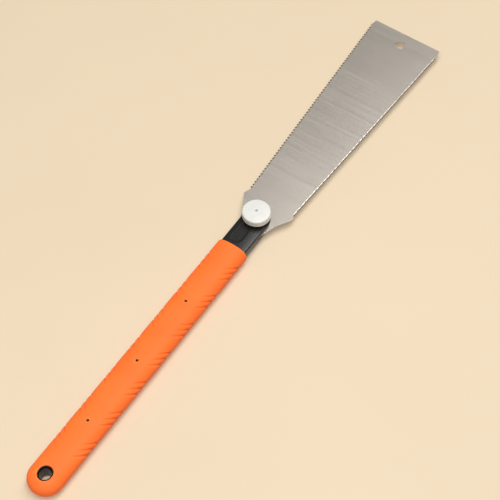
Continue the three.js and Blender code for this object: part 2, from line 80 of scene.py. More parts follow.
def local(node):
    """A CAD node's lowest and highest corner, in millimetres from the saw's centre."""
    low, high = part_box(node)
    return (low - CENTRE) / MM, (high - CENTRE) / MM


GRIP_LOW, GRIP_HIGH = local("grip_sleeve")
_, CORE_HIGH = local("handle_core")
BLADE_LOW, BLADE_HIGH = local("blade")
CAP_LOW, CAP_HIGH = local("knob_cap")
BASE_LOW, BASE_HIGH = local("knob_base")
NUT_LOW, NUT_HIGH = local("knob_nut")
BOLT_LOW, BOLT_HIGH = local("clamp_bolt")
WASHER_LOW, WASHER_HIGH = local("flat_washer")
SPRING_LOW, SPRING_HIGH = local("spring_washer")
CLIP_LOW, CLIP_HIGH = local("bolt_clip")
PIN_LOW, PIN_HIGH = local("tang_pin")
PIN_X = (PIN_LOW.x + PIN_HIGH.x) / 2

# ---- Sizes, in millimetres ----

GAP = 0.3  # between pieces that touch on the real saw, as in the CAD model
REACH = 1.0  # how far a cutter runs past what it cuts
ROUND_STEPS = 96
SMALL_ROUND_STEPS = 32
FILLET_STEPS = 5
SHARP_ANGLE = 38  # in degrees: edges sharper than this aren't shaded smooth
AXIS_RADIUS = 0.3  # of the small flat that closes a turned solid at its axis
PIN_ROUNDING = 0.4

# Blade
TOOTH_END_X = 265.5
TOOTH_END_HALF_WIDTH = BLADE_HIGH.y
TOOTH_START_HALF_WIDTH = 26.9
FINE_START_X, FINE_PITCH, FINE_DEPTH = 24.0, 3.0, 1.9
COARSE_START_X, COARSE_PITCH, COARSE_DEPTH = 28.5, 3.65, 2.1
TOOTH_LEAN = 0.3
TOOTH_SET = 0.08  # how far a tooth's tip stands to its side of the middle
TOOTH_LAND = 0.14  # the thickness left at the tip
TOOTH_BASE = 0.3  # the share of a tooth's height below its hardened part
TIP_HALF_WIDTH = 37.4
TIP_CORNER_X = TOOTH_END_X + 1
TANG_HALF_WIDTH = 11.5
SLOT_RADIUS = 3.3
HOLE_X, HOLE_RADIUS = 260.2, 4.75
HOLE_CHAMFER = 0.12
SHOULDER = [
    (-16, TANG_HALF_WIDTH), (-12, 13.5), (-3, 15.6),
    (4, 18.8), (10, 21.2), (16.5, 27.2),
    (21.2, 28.1),
]  # two Bezier curves end to end, as (x, distance from the middle)
SHOULDER_STEPS = 14  # in each of the two curves

# Grip
GRIP_HALF_THICKNESS = 10.25
GRIP_FRONT_HALF_WIDTH = 16
GRIP_REAR_HALF_WIDTH = GRIP_HIGH.y
GRIP_POWER = 2.5  # of the superellipse section
GRIP_RIM_RADIUS = 0.6
GRIP_STEP = 0.62  # between the sections of its mesh
GRIP_TURN_STEPS = 120
GRIP_SHARP_ANGLE = 60
TAIL_SIDE_STEPS, TAIL_ROUND_STEPS = 14, 60  # along each side, and round the end
EYE_ROWS = 26  # of its mesh, from the widest line in to the hanging hole
REST_Z = GRIP_LOW.z
PIN_HOLE_XS = (-115.5, -191, -264)
PIN_HOLE_RADIUS = 1.5
RIB_GROUPS, RIBS_PER_GROUP = 7, 3
FIRST_GROUP_X, GROUP_PITCH, RIB_PITCH = -61.5, 36.5, 7.2
RIB_DEPTH, RIB_HALF_WIDTH, RIB_SWEEP = 0.8, 2.3, 12  # of the grooves that leave the ribs
RIB_TOP_ANGLE = math.radians(64)  # up from the grip's side, where the grooves end

# Core
HEAD_HALF_WIDTH = CORE_HIGH.y
HEAD_HALF_THICKNESS = 6
HEAD_EDGE_RADIUS = 1.1
HEAD_REAR_X = GRIP_HIGH.x + GAP
HEAD_CROWN = 0.9  # how far the head's middle stands above its edges
HEAD_ROW, HEAD_ROWS = 0.45, 27  # rings of its mesh, from its middle line outwards
HEAD_SIDE_STEPS, HEAD_FRONT_STEPS, HEAD_REAR_STEPS = 60, 60, 40
PANEL_DEPTH, PANEL_SOFTNESS = 0.45, 1.8
PANEL_HALF_WIDTH, PANEL_Y = 5.8, 2.9
PANEL_FRONT_X, PANEL_REAR_X = -10.5, -34.5
NECK_HALF_WIDTH, NECK_HALF_THICKNESS, NECK_LENGTH = 12, 5.2, 12
SPINE_HALF_WIDTH, SPINE_HALF_THICKNESS = 10, 5
FORK_HALF_HEIGHT = 0.65
CHEEK_FRONT_X, POCKET_REAR_X, POCKET_HALF_WIDTH = -18, -36.5, 11.9
EYE_X = GRIP_LOW.x + GRIP_REAR_HALF_WIDTH
EYE_STRAIGHT = 1.2
TAIL_X = EYE_X + 18  # where the rings round the hanging hole take over
EYE_RADIUS = 6.75  # of the hanging hole in the grip
EYE_ROUNDING = 1.2
EYE_WALL = 1.2
EYE_RIM = 0.35  # the lining's thickness at its rim
LINING_OVERLAP = 0.2  # how far the lining reaches into the core to join it
STUD_RADIUS, STUD_HALF_HEIGHT = 1.35, 9.0  # of the core, in the pin-holes
EYE_HALF_HEIGHT = CORE_HIGH.z
EYE_FLARE = 2.6  # the depth over which the lining thins to its rim
WEB_RADIUS = 11

# Clamp
BOLT_RADIUS = 3
BOLT_HOLE_RADIUS = BOLT_RADIUS + GAP
BOLT_STEPS, BOLT_HEAD_ROWS = 64, 12
THREAD_PITCH, THREAD_DEPTH, THREAD_ROWS = 1.0, 0.32, 8
THREAD_STEEPNESS = 1.5  # 1 is a plain zigzag, and more leaves a flat root
THREAD_END_RADIUS, BOLT_TIP_RADIUS = 2.7, 2.9
BOLT_SEAT_Z = -5.3
BOLT_HEAD_EDGE, BOLT_HEAD_START = 0.5, math.radians(4)
BOLT_CHAMFER = 0.1
BOLT_NECK_TOP_Z = -1
BOLT_NECK_ROUNDING = 0.4
CLIP_GROOVE_RADIUS, CLIP_GROOVE_GAP = 2.4, 0.2
CLIP_MOUTH, SPRING_MOUTH = 0.6, math.radians(4)
SPRING_RISE = 0.2
RING_STEPS, RING_ROUNDING = 72, 0.12
NUT_CHAMFER_WIDTH, NUT_CHAMFER_HEIGHT = 0.3, 0.5
NUT_SHARP_ANGLE = 25
KNOB_STEPS, KNOB_EDGE_STEPS, KNOB_TOP_STEPS = 128, 8, 60
KNOB_DOME = 0.7
KNOB_EDGE_RADIUS = 1.6
KNOB_WALL = 1.2
KNOB_CAVITY_RADIUS = 7.5
KNOB_RING_RADII = (4.2, 7.6, 10.4)
KNOB_RING_DEPTH, KNOB_RING_WIDTH = 0.05, 0.25
BASE_BEVEL_WIDTH, BASE_BEVEL_HEIGHT = 0.5, 0.6
DIMPLE_RADIUS, DIMPLE_DEPTH = 1.2, 0.8
DIMPLE_RIM_RADIUS = DIMPLE_RADIUS + 0.3

# Camera, with its place given along its own axes from the saw's centre
CAMERA_AZIMUTH, CAMERA_ELEVATION, CAMERA_ROLL = -55.5, 56.16, -0.53
CAMERA_RIGHT, CAMERA_UP, CAMERA_BACK = -6.19, -27.65, 1702.46
CAMERA_LENS, CAMERA_SENSOR = 129.6, 36

# Table and lights, in metres, watts and RGB
TABLE_HALF_WIDTH, TABLE_DROP = 6.0, 0.0002
LAMP_COLOUR = (1, 0.99, 0.97)
SKY_COLOURS = ((0.20, 0.19, 0.18), (0.22, 0.21, 0.20))  # low down, overhead

# ---- Numbers and angles ----


def circle_angles(steps):
    """Evenly spaced angles round a circle."""
    return [2 * math.pi * i / steps for i in range(steps)]


def quarter_angles(steps=FILLET_STEPS):
    """Evenly spaced angles from 0 to a quarter turn, both included."""
    return [math.pi / 2 * i / steps for i in range(steps + 1)]


def signed_power(value, power):
    """A power of a value's size, with the value's own sign."""
    return math.copysign(abs(value) ** power, value)


def eased(share):
    """0 to 1 with a level start and end."""
    return share * share * (3 - 2 * share)


# ---- Mesh helpers ----


def new_object(name, data):
    """A new object in the scene that shows this mesh, lamp or camera."""
    made = bpy.data.objects.new(name, data)
    bpy.context.scene.collection.objects.link(made)
    return made


def smooth_below(piece, degrees):
    """Shades a piece smooth, except across edges sharper than that angle."""
    piece.data.shade_smooth()
    piece.data.set_sharp_from_angle(angle=math.radians(degrees))


def add_piece(name, points, faces, sharp=SHARP_ANGLE):
    """A new object from points in millimetres from the saw's centre."""
    mesh = bpy.data.meshes.new(name)
    mesh.from_pydata([CENTRE + Vector(point) * MM for point in points], [], faces)
    build = bmesh.new()
    build.from_mesh(mesh)
    bmesh.ops.recalc_face_normals(build, faces=build.faces)
    build.to_mesh(mesh)
    build.free()
    piece = new_object(name, mesh)
    smooth_below(piece, sharp)
    return piece


def bridge(first, second, count):
    """Quads between two closed rings of points that start at these indices."""
    return [
        (first + i, first + (i + 1) % count, second + (i + 1) % count, second + i)
        for i in range(count)
    ]


def ring_loft(name, rings, closed=False):
    """A solid through closed rings of equal length: capped at its ends, or closed on itself."""
    count = len(rings[0])
    points = [point for ring in rings for point in ring]
    faces = []
    for i in range(len(rings) - 1):
        faces += bridge(i * count, (i + 1) * count, count)
    last = (len(rings) - 1) * count
    if closed:
        faces += bridge(last, 0, count)
    else:
        faces.append(tuple(range(count)))
        faces.append(tuple(range(last, last + count)))
    return add_piece(name, points, faces)


def filleted(corners):
    """A line or loop through (u, v, radius) corners, each rounded to its radius."""
    line = []
    for i, (u, v, radius) in enumerate(corners):
        here = Vector((u, v))
        if radius == 0:
            line.append((u, v))
            continue
        before = (Vector(corners[i - 1][:2]) - here).normalized()
        after = (Vector(corners[(i + 1) % len(corners)][:2]) - here).normalized()
        half = before.angle(after) / 2
        centre = here + (before + after).normalized() * (radius / math.sin(half))
        start = here + before * (radius / math.tan(half)) - centre
        end = here + after * (radius / math.tan(half)) - centre
        sweep = start.angle_signed(end)
        for step in range(FILLET_STEPS + 1):
            turned = Matrix.Rotation(-sweep * step / FILLET_STEPS, 2) @ start
            line.append(tuple(centre + turned))
    return line


def pin_profile(radius, z_low, z_high):
    """Half the section of a pin with rounded ends."""
    return filleted([
        (AXIS_RADIUS, z_low, 0), (radius, z_low, PIN_ROUNDING),
        (radius, z_high, PIN_ROUNDING), (AXIS_RADIUS, z_high, 0),
    ])


def turned_rings(profile, x, steps):
    """Circles about a vertical axis at x, one for each (radius, z) of the profile."""
    angles = circle_angles(steps)
    return [
        [(x + radius * math.cos(a), radius * math.sin(a), z) for a in angles]
        for radius, z in profile
    ]


def turned(name, profile, x=0.0, closed=False, steps=ROUND_STEPS):
    """A solid of revolution about a vertical axis at x."""
    return ring_loft(name, turned_rings(profile, x, steps), closed)


def oval(straight, radius):
    """Points of an oval with its straight sides along X, about its own middle."""
    points = []
    for i in range(ROUND_STEPS):
        angle = 2 * math.pi * (i + 0.5) / ROUND_STEPS
        shift = math.copysign(straight / 2, math.cos(angle))
        points.append((shift + radius * math.cos(angle), radius * math.sin(angle)))
    return points


def eye_rings(profile):
    """Ovals about the hanging hole's middle, one for each (radius, z) of the profile."""
    return [
        [(EYE_X + x, y, z) for x, y in oval(EYE_STRAIGHT, radius)] for radius, z in profile
    ]


def block(name, x_low, x_high, half_width, z_low, z_high):
    """A plain block to cut or join with."""
    corners = [
        (x_low, -half_width), (x_high, -half_width), (x_high, half_width), (x_low, half_width),
    ]
    return ring_loft(name, [[(x, y, z) for x, y in corners] for z in (z_low, z_high)])


def combined(piece, operation, others, sharp=SHARP_ANGLE):
    """Joins, cuts or intersects a piece with others, which are used up."""
    for other in others:
        step = piece.modifiers.new("step", "BOOLEAN")
        step.operation = operation
        step.solver = "EXACT"
        step.object = other
    graph = bpy.context.evaluated_depsgraph_get()
    mesh = bpy.data.meshes.new_from_object(piece.evaluated_get(graph))
    piece.modifiers.clear()
    piece.data = mesh
    for other in others:
        bpy.data.objects.remove(other)
    smooth_below(piece, sharp)
    return piece


def finished(piece, material, body, slot, *nodes):
    """Gives a piece its material, ties it to its CAD body and hides the CAD nodes it stands in
    for. The slot is not used.
    """
    piece.data.materials.append(material)
    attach(piece, body)
    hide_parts(*nodes)
    return piece


# ---- Material helpers ----


class Surface:
    """A Principled material and short ways to wire noise, wear, painted shade and bumps into it.
    """

    def __init__(self, name, colour, **fixed):
        self.material = bpy.data.materials.new(name)
        self.material.use_nodes = True
        self.tree = self.material.node_tree
        self.shader = self.tree.nodes["Principled BSDF"]
        self.shader.inputs["Base Color"].default_value = (*colour, 1)
        for socket, value in fixed.items():
            self.shader.inputs[socket.replace("_", " ")].default_value = value
        self.place = self.tree.nodes.new("ShaderNodeTexCoord").outputs["Object"]

    def link(self, source, target):
        self.tree.links.new(source, target)

    def stretched(self, stretch):
        node = self.tree.nodes.new("ShaderNodeMapping")
        node.inputs["Scale"].default_value = stretch
        self.link(self.place, node.inputs["Vector"])
        return node.outputs["Vector"]

    def noise(self, size_mm, detail=4.0, roughness=0.55, stretch=(1, 1, 1)):
        """Noise whose blotches are about that many millimetres across."""
        node = self.tree.nodes.new("ShaderNodeTexNoise")
        node.inputs["Scale"].default_value = 1 / (size_mm * MM)
        node.inputs["Detail"].default_value = detail
        node.inputs["Roughness"].default_value = roughness
        self.link(self.stretched(stretch), node.inputs["Vector"])
        return node.outputs["Fac"]

    def cells(self, size_mm):
        """Distance to the nearest of many scattered points, for pits and grain."""
        node = self.tree.nodes.new("ShaderNodeTexVoronoi")
        node.inputs["Scale"].default_value = 1 / (size_mm * MM)
        self.link(self.place, node.inputs["Vector"])
        return node.outputs["Distance"]

    def spread(self, source, low, high, to_low=0.0, to_high=1.0):
        """Maps a value from one range to another, held at its ends."""
        node = self.tree.nodes.new("ShaderNodeMapRange")
        for socket, value in zip(node.inputs[1:5], (low, high, to_low, to_high)):
            socket.default_value = value
        self.link(source, node.inputs[0])
        return node.outputs[0]

    def edges(self, low, high):
        """1 on outward edges and 0 elsewhere. With low above high, 1 on inward edges."""
        node = self.tree.nodes.new("ShaderNodeNewGeometry")
        return self.spread(node.outputs["Pointiness"], low, high)

    def near(self, point, reach):
        """1 around a point in millimetres from the saw's centre, fading to 0 at its reach."""
        node = self.tree.nodes.new("ShaderNodeVectorMath")
        node.operation = "DISTANCE"
        node.inputs[1].default_value = CENTRE + Vector(point) * MM
        self.link(self.place, node.inputs[0])
        return self.spread(node.outputs["Value"], 0.7 * reach * MM, reach * MM, 1, 0)

    def times(self, first, second):
        node = self.tree.nodes.new("ShaderNodeMath")
        node.operation = "MULTIPLY"
        self.link(first, node.inputs[0])
        self.link(second, node.inputs[1])
        return node.outputs[0]

    def mixed(self, share, first, second):
        """A colour between two, each an RGB triple or another node's output."""
        node = self.tree.nodes.new("ShaderNodeMix")
        node.data_type = "RGBA"
        self.link(share, node.inputs["Factor"])
        for socket, value in ((node.inputs[6], first), (node.inputs[7], second)):
            if isinstance(value, tuple):
                socket.default_value = (*value, 1)
            else:
                self.link(value, socket)
        return node.outputs[2]

    def colour(self, source):
        self.link(source, self.shader.inputs["Base Color"])

    def rough(self, source):
        self.link(source, self.shader.inputs["Roughness"])

    def bumps(self, *layers):
        """Bumps from (height source, depth in millimetres) layers, one on another."""
        normal = None
        for height, depth in layers:
            node = self.tree.nodes.new("ShaderNodeBump")
            node.inputs["Distance"].default_value = depth * MM
            self.link(height, node.inputs["Height"])
            if normal is not None:
                self.link(normal, node.inputs["Normal"])
            normal = node.outputs["Normal"]
        self.link(normal, self.shader.inputs["Normal"])


# ---- Materials ----


def blade_steel():
    """Satin steel ground across its width, with the faintest marks of oil and handling."""
    s = Surface("blade_steel", (0.62, 0.575, 0.52), Metallic=1.0, Roughness=0.34)
    lines = s.noise(0.35, detail=3, stretch=(1, 0.012, 1))
    coarse_lines = s.noise(2.4, detail=2, stretch=(1, 0.02, 1))
    smudge = s.noise(60, detail=4, roughness=0.5)
    s.colour(s.mixed(s.spread(smudge, 0.3, 0.7), (0.615, 0.57, 0.515), (0.64, 0.595, 0.54)))
    s.rough(s.spread(s.times(lines, coarse_lines), 0.12, 0.4, 0.31, 0.37))
    s.bumps((lines, 0.004), (coarse_lines, 0.003))
    return s.material


def tooth_steel():
    """The teeth, blued dark where they were hardened, with grinding marks that catch light."""
    s = Surface("tooth_steel", (0.05, 0.045, 0.042), Metallic=0.9, Roughness=0.42)
    lines = s.noise(0.25, detail=3, stretch=(0.1, 1, 1))
    tint = s.times(lines, s.noise(6, detail=4, roughness=0.6))
    s.colour(s.mixed(s.spread(tint, 0.1, 0.45), (0.03, 0.027, 0.026), (0.11, 0.1, 0.09)))
    s.rough(s.spread(lines, 0.3, 0.7, 0.32, 0.5))
    s.bumps((lines, 0.005))
    return s.material


def black_plastic():
    """Glossy injection-moulded black with a faint ripple and hairline scratches."""
    s = Surface("black_plastic", (0.012, 0.012, 0.014), Roughness=0.2, IOR=1.5)
    ripple = s.noise(7, detail=2)
    scratches = s.noise(0.6, detail=4, stretch=(0.06, 1, 1))
    dust = s.noise(16, detail=6, roughness=0.65)
    wear = s.times(s.edges(0.53, 0.6), s.spread(dust, 0.4, 0.7))
    s.colour(s.mixed(wear, (0.010, 0.010, 0.010), (0.04, 0.04, 0.04)))
    s.rough(s.spread(s.times(dust, scratches), 0.12, 0.42, 0.24, 0.34))
    s.bumps((ripple, 0.015), (scratches, 0.003))
    return s.material


def orange_rubber():
    """Soft matt rubber with a fine grain, rubbed high spots and painted shade in its grooves."""
    s = Surface("orange_rubber", (0.95, 0.16, 0.02), Roughness=0.55, Specular_IOR_Level=0.22)
    tone = s.noise(26, detail=5, roughness=0.6)
    grain = s.cells(0.42)
    speckle = s.noise(0.5, detail=3)
    rubbed = s.times(s.edges(0.505, 0.53), s.spread(tone, 0.35, 0.65))
    base = s.mixed(s.spread(tone, 0.32, 0.68), (0.95, 0.15, 0.022), (1.0, 0.172, 0.027))
    worn = s.mixed(rubbed, base, (1.0, 0.22, 0.045))
    # painted shade: inward edges such as the groove bottoms get a deeper red-orange that stands
    # in for the shade in them
    s.colour(s.mixed(s.edges(0.495, 0.465), worn, (0.86, 0.095, 0.012)))
    s.rough(s.spread(s.times(tone, speckle), 0.15, 0.4, 0.5, 0.66))
    s.bumps((grain, 0.035), (speckle, 0.02))
    return s.material


def white_plastic():
    """Smooth white moulded plastic with a soft gloss, darker in its inward corners, and painted
    shade in its dimple.
    """
    s = Surface(
        "white_plastic", (0.86, 0.86, 0.84), Roughness=0.28, IOR=1.48, Subsurface_Weight=0.05,
    )
    s.shader.inputs["Subsurface Radius"].default_value = (0.002, 0.002, 0.0015)
    tone = s.noise(9, detail=5, roughness=0.6)
    fine = s.noise(0.8, detail=3)
    base = s.mixed(s.spread(tone, 0.35, 0.7), (0.67, 0.67, 0.65), (0.62, 0.62, 0.59))
    # darker grey in the inward corners
    darker_corners = s.mixed(s.edges(0.49, 0.44), base, (0.30, 0.29, 0.25))
    # painted shade: the dimple is tinted dark grey to stand in for the shade in its hollow
    dimple = s.near((0, 0, CAP_HIGH.z), DIMPLE_RIM_RADIUS)
    s.colour(s.mixed(dimple, darker_corners, (0.34, 0.35, 0.31)))
    s.rough(s.spread(s.times(tone, fine), 0.15, 0.4, 0.22, 0.38))
    s.bumps((fine, 0.008), (tone, 0.02))
    return s.material


def zinc_steel():
    """Bright zinc-plated steel: cloudy plating, turning marks and dull rubbed edges."""
    s = Surface("zinc_steel", (0.66, 0.68, 0.7), Metallic=1.0, Roughness=0.26)
    cloud = s.noise(2.2, detail=6, roughness=0.65)
    fine = s.noise(0.18, detail=3)
    worn = s.times(s.edges(0.52, 0.6), s.spread(cloud, 0.35, 0.6))
    base = s.mixed(s.spread(cloud, 0.3, 0.7), (0.55, 0.57, 0.59), (0.72, 0.73, 0.74))
    s.colour(s.mixed(worn, base, (0.42, 0.41, 0.4)))
    s.rough(s.spread(s.times(cloud, fine), 0.15, 0.4, 0.2, 0.42))
    s.bumps((fine, 0.006), (cloud, 0.01))
    return s.material


def nut_brass():
    """Plain turned brass, slightly dulled."""
    s = Surface("nut_brass", (0.72, 0.52, 0.2), Metallic=1.0, Roughness=0.32)
    cloud = s.noise(1.8, detail=6, roughness=0.65)
    fine = s.noise(0.15, detail=3)
    s.colour(s.mixed(s.spread(cloud, 0.3, 0.7), (0.6, 0.42, 0.15), (0.78, 0.58, 0.25)))
    s.rough(s.spread(s.times(cloud, fine), 0.15, 0.4, 0.25, 0.45))
    s.bumps((fine, 0.008))
    return s.material


# ---- Blade ----


def bezier(start, first, second, end):
    """Points of a cubic curve, without its last one."""
    for step in range(SHOULDER_STEPS):
        t = step / SHOULDER_STEPS
        weights = ((1 - t) ** 3, 3 * t * (1 - t) ** 2, 3 * t * t * (1 - t), t**3)
        yield tuple(
            sum(w * p[axis] for w, p in zip(weights, (start, first, second, end)))
            for axis in (0, 1)
        )


def shoulder_line():
    """The shoulder from the neck to the heel, as (x, distance from the middle)."""
    line = [*bezier(*SHOULDER[0:4]), *bezier(*SHOULDER[3:7])]
    return [*line, SHOULDER[6]]


def teeth(start_x, pitch, depth, side):
    """One edge's gullets and tips from the handle's end, as two lists of (x, y)."""
    start = Vector((start_x, TOOTH_START_HALF_WIDTH))
    end = Vector((TOOTH_END_X, TOOTH_END_HALF_WIDTH))
    count = round((end - start).length / pitch)
    step = (end - start) / count
    inward = Vector((step.y, -step.x)).normalized() * depth
    gullets = [start + step * i + inward for i in range(count + 1)]
    tips = [start + step * (i + TOOTH_LEAN) for i in range(count)]
    return [(p.x, side * p.y) for p in gullets], [(p.x, side * p.y) for p in tips]


def slot_end():
    """The round end of the tang's slot, from its +Y side to its -Y side."""
    steps = ROUND_STEPS // 4
    angles = [math.pi / 2 - math.pi * i / steps for i in range(steps + 1)]
    return [(SLOT_RADIUS * math.cos(a), SLOT_RADIUS * math.sin(a)) for a in angles]


def hole_ring(radius):
    """Points round the hole near the blade's tip."""
    angles = circle_angles(ROUND_STEPS)
    return [(HOLE_X + radius * math.cos(a), radius * math.sin(a)) for a in angles]


def plate_outline():
    """The plate's outline along the gullets, and the tip of the tooth after each gullet, by the
    gullet's place in the outline."""
    fine_gullets, fine_tips = teeth(FINE_START_X, FINE_PITCH, FINE_DEPTH, -1)
    coarse_gullets, coarse_tips = teeth(COARSE_START_X, COARSE_PITCH, COARSE_DEPTH, 1)
    shoulder = shoulder_line()
    tail = BLADE_LOW.x
    outline = [(tail, -SLOT_RADIUS), (tail, -TANG_HALF_WIDTH)]
    outline += [(x, -y) for x, y in shoulder]
    tips = {len(outline) + i: tip for i, tip in enumerate(fine_tips)}
    outline += fine_gullets
    outline += [(TIP_CORNER_X, -TOOTH_END_HALF_WIDTH), (BLADE_HIGH.x, -TIP_HALF_WIDTH)]
    outline += [(BLADE_HIGH.x, TIP_HALF_WIDTH), (TIP_CORNER_X, TOOTH_END_HALF_WIDTH)]
    tips.update({len(outline) + i: tip for i, tip in enumerate(coarse_tips[::-1])})
    outline += coarse_gullets[::-1]
    outline += shoulder[::-1]
    outline += [(tail, TANG_HALF_WIDTH), (tail, SLOT_RADIUS)]
    return outline + slot_end(), tips


def pierced_plate(outline):
    """Points and faces of the plate's two sides and of its chamfered hole, outline first."""
    top = BLADE_HIGH.z
    wide, narrow = hole_ring(HOLE_RADIUS + HOLE_CHAMFER), hole_ring(HOLE_RADIUS)
    side = outline + wide
    count = len(side)
    points = [(x, y, top) for x, y in side] + [(x, y, -top) for x, y in side]
    points += [(x, y, top - HOLE_CHAMFER) for x, y in narrow]
    points += [(x, y, HOLE_CHAMFER - top) for x, y in narrow]
    loops = [[Vector((x, y, 0)) for x, y in loop] for loop in (outline, wide)]
    plate = [tuple(face) for face in tessellate_polygon(loops)]
    faces = plate + [(c + count, b + count, a + count) for a, b, c in plate]
    hole_starts = (len(outline), 2 * count, 2 * count + ROUND_STEPS, len(outline) + count)
    for first, second in zip(hole_starts, hole_starts[1:]):
        faces += bridge(first, second, ROUND_STEPS)
    return points, faces


def add_tooth(points, faces, base, tip, middle_z):
    """Adds a wedge on four base points, and returns its outer faces, which are hardened."""
    ends = [Vector((*tip, middle_z + turn * TOOTH_LAND / 2)) for turn in (1, 1, -1, -1)]
    a, b, c, d, high, low = range(len(points), len(points) + 6)
    for corner, end in zip(base, ends):
        points.append(tuple(Vector(points[corner]).lerp(end, TOOTH_BASE)))
    points += [tuple(ends[0]), tuple(ends[3])]
    inner = (a, b, c, d)
    for i in range(4):
        after = (i + 1) % 4
        faces.append((base[i], base[after], inner[after], inner[i]))
    hardened = [(a, b, high), (c, d, low), (b, c, low, high), (d, a, high, low)]
    faces += hardened
    return range(len(faces) - len(hardened), len(faces))


def make_blade():
    """The plate up to the line of the gullets, and a ground wedge for each tooth on it."""
    outline, tips = plate_outline()
    points, faces = pierced_plate(outline)
    below = len(outline) + ROUND_STEPS  # from a point on the upper side to the one under it
    hardened = []
    for i in range(len(outline)):
        after = (i + 1) % len(outline)
        if i in tips:
            middle_z = TOOTH_SET if i % 2 else -TOOTH_SET
            base = (i, after, after + below, i + below)
            hardened += add_tooth(points, faces, base, tips[i], middle_z)
        else:
            faces.append((i, i + below, after + below, after))
    blade = add_piece("blade_plate", points, faces)
    blade.data.shade_flat()
    for index in hardened:
        blade.data.polygons[index].material_index = 1
    return blade


# ---- Grip ----


def grip_half_width(x):
    """Half the grip's width, which grows evenly from its front to its hanging hole."""
    share = (x - GRIP_HIGH.x) / (EYE_X - GRIP_HIGH.x)
    return GRIP_FRONT_HALF_WIDTH + share * (GRIP_REAR_HALF_WIDTH - GRIP_FRONT_HALF_WIDTH)


def rib_depth(x, angle):
    """How deep the grooves lie under the grip's skin, at a distance along it and an angle up
    from its side. A groove slants towards the grip's end as it climbs, and fades at its ends."""
    turn = angle / RIB_TOP_ANGLE
    if abs(turn) >= 1:
        return 0.0
    along = FIRST_GROUP_X - (x + RIB_SWEEP * turn)
    group = min(max(round(along / GROUP_PITCH), 0), RIB_GROUPS - 1)
    offset = along - group * GROUP_PITCH
    half_group = (RIBS_PER_GROUP - 1) // 2
    rib = min(max(round(offset / RIB_PITCH), -half_group), half_group)
    away = abs(offset - rib * RIB_PITCH) / RIB_HALF_WIDTH
    if away >= 1:
        return 0.0
    return RIB_DEPTH * (1 - abs(turn) ** 3) * math.cos(away * math.pi / 2) ** 2


def grip_column(x, shrink=0.0):
    """One section of the grip: from the +Y side over the crown, and back under."""
    half_width = grip_half_width(x) - shrink
    half_height = GRIP_HALF_THICKNESS - shrink
    column = []
    for angle in circle_angles(GRIP_TURN_STEPS):
        across = signed_power(math.cos(angle), 2 / GRIP_POWER)
        above = signed_power(math.sin(angle), 2 / GRIP_POWER)
        normal = Vector((
            signed_power(across, GRIP_POWER - 1) / half_width,
            signed_power(above, GRIP_POWER - 1) / half_height,
        )).normalized()
        depth = rib_depth(x, math.atan2(math.sin(angle), abs(math.cos(angle))))
        y = across * half_width - normal.x * depth
        z = above * half_height - normal.y * depth
        column.append((x, y, max(z, REST_Z)))
    return column


def grip_skin_z(x, y):
    """Half the grip's thickness over a point around its hanging hole."""
    if x >= EYE_X:
        share = abs(y) / grip_half_width(x)
    else:
        share = math.hypot(x - EYE_X, y) / GRIP_REAR_HALF_WIDTH
    return GRIP_HALF_THICKNESS * max(0.0, 1 - share**GRIP_POWER) ** (1 / GRIP_POWER)


def eye_point(angle, radius):
    """Where a ray from the hanging hole's middle meets an oval of that radius round it."""
    ray = Vector((math.cos(angle), math.sin(angle)))
    if abs(ray.y) * EYE_STRAIGHT / 2 >= abs(ray.x) * radius:
        return ray * (radius / abs(ray.y))
    centre = Vector((math.copysign(EYE_STRAIGHT / 2, ray.x), 0))
    along = ray.dot(centre)
    return ray * (along + math.sqrt(along**2 - centre.length_squared + radius**2))


def eye_ring(outer, share, side):
    """One ring between the hanging hole (share 0) and the grip's outline (share 1)."""
    ring = []
    for x, y in outer:
        angle = math.atan2(y, x - EYE_X)
        inner = eye_point(angle, EYE_RADIUS + EYE_ROUNDING)
        px = EYE_X + inner.x + (x - EYE_X - inner.x) * share
        py = inner.y + (y - inner.y) * share
        skin = grip_skin_z(px, py)
        ring.append((px, py, skin if side > 0 else max(-skin, REST_Z)))
    return ring


def eye_lip(outer, turn, side):
    """One ring of the rounding from the grip's skin into the hanging hole."""
    ring = []
    for x, y in outer:
        angle = math.atan2(y, x - EYE_X)
        radius = EYE_RADIUS + EYE_ROUNDING * (1 - math.sin(turn))
        lip = eye_point(angle, radius)
        start = eye_point(angle, EYE_RADIUS + EYE_ROUNDING)
        skin = grip_skin_z(EYE_X + start.x, start.y)
        z = min(skin, skin if side > 0 else -REST_Z) - EYE_ROUNDING * (1 - math.cos(turn))
        ring.append((EYE_X + lip.x, lip.y, side * z))
    return ring


def grip_columns():
    """The grip's sections, from its front face round its rim and back to the hanging hole."""
    columns = []
    for turn in quarter_angles():
        setback = GRIP_RIM_RADIUS * (1 - math.cos(turn))
        shrink = GRIP_RIM_RADIUS * (1 - math.sin(turn))
        columns.append(grip_column(GRIP_HIGH.x - setback, shrink))
    first_x = GRIP_HIGH.x - GRIP_RIM_RADIUS
    steps = math.ceil((first_x - TAIL_X) / GRIP_STEP)
    for i in range(1, steps + 1):
        columns.append(grip_column(first_x + (TAIL_X - first_x) * i / steps))
    return columns


def tail_edge():
    """The grip's widest line from its last section round its end, -Y side first."""
    length = EYE_X - TAIL_X
    straight = [TAIL_X + length * i / TAIL_SIDE_STEPS for i in range(1, TAIL_SIDE_STEPS)]
    angles = [math.pi * i / TAIL_ROUND_STEPS for i in range(TAIL_ROUND_STEPS + 1)]
    radius = GRIP_REAR_HALF_WIDTH
    edge = [(x, -grip_half_width(x)) for x in straight]
    edge += [(EYE_X - radius * math.sin(a), -radius * math.cos(a)) for a in angles]
    return edge + [(x, grip_half_width(x)) for x in straight[::-1]]


class Skin:
    """The points and faces of one closed skin, grown ring by ring."""

    def __init__(self):
        self.points = []
        self.faces = []

    def ring(self, points):
        """Adds a ring's points and returns their places."""
        start = len(self.points)
        self.points += points
        return list(range(start, start + len(points)))

    def join(self, first, second):
        """Quads between two closed rings, or triangles where they share a point."""
        for i in range(len(first)):
            after = (i + 1) % len(first)
            corners = dict.fromkeys((first[i], first[after], second[after], second[i]))
            if len(corners) > 2:
                self.faces.append(tuple(corners))


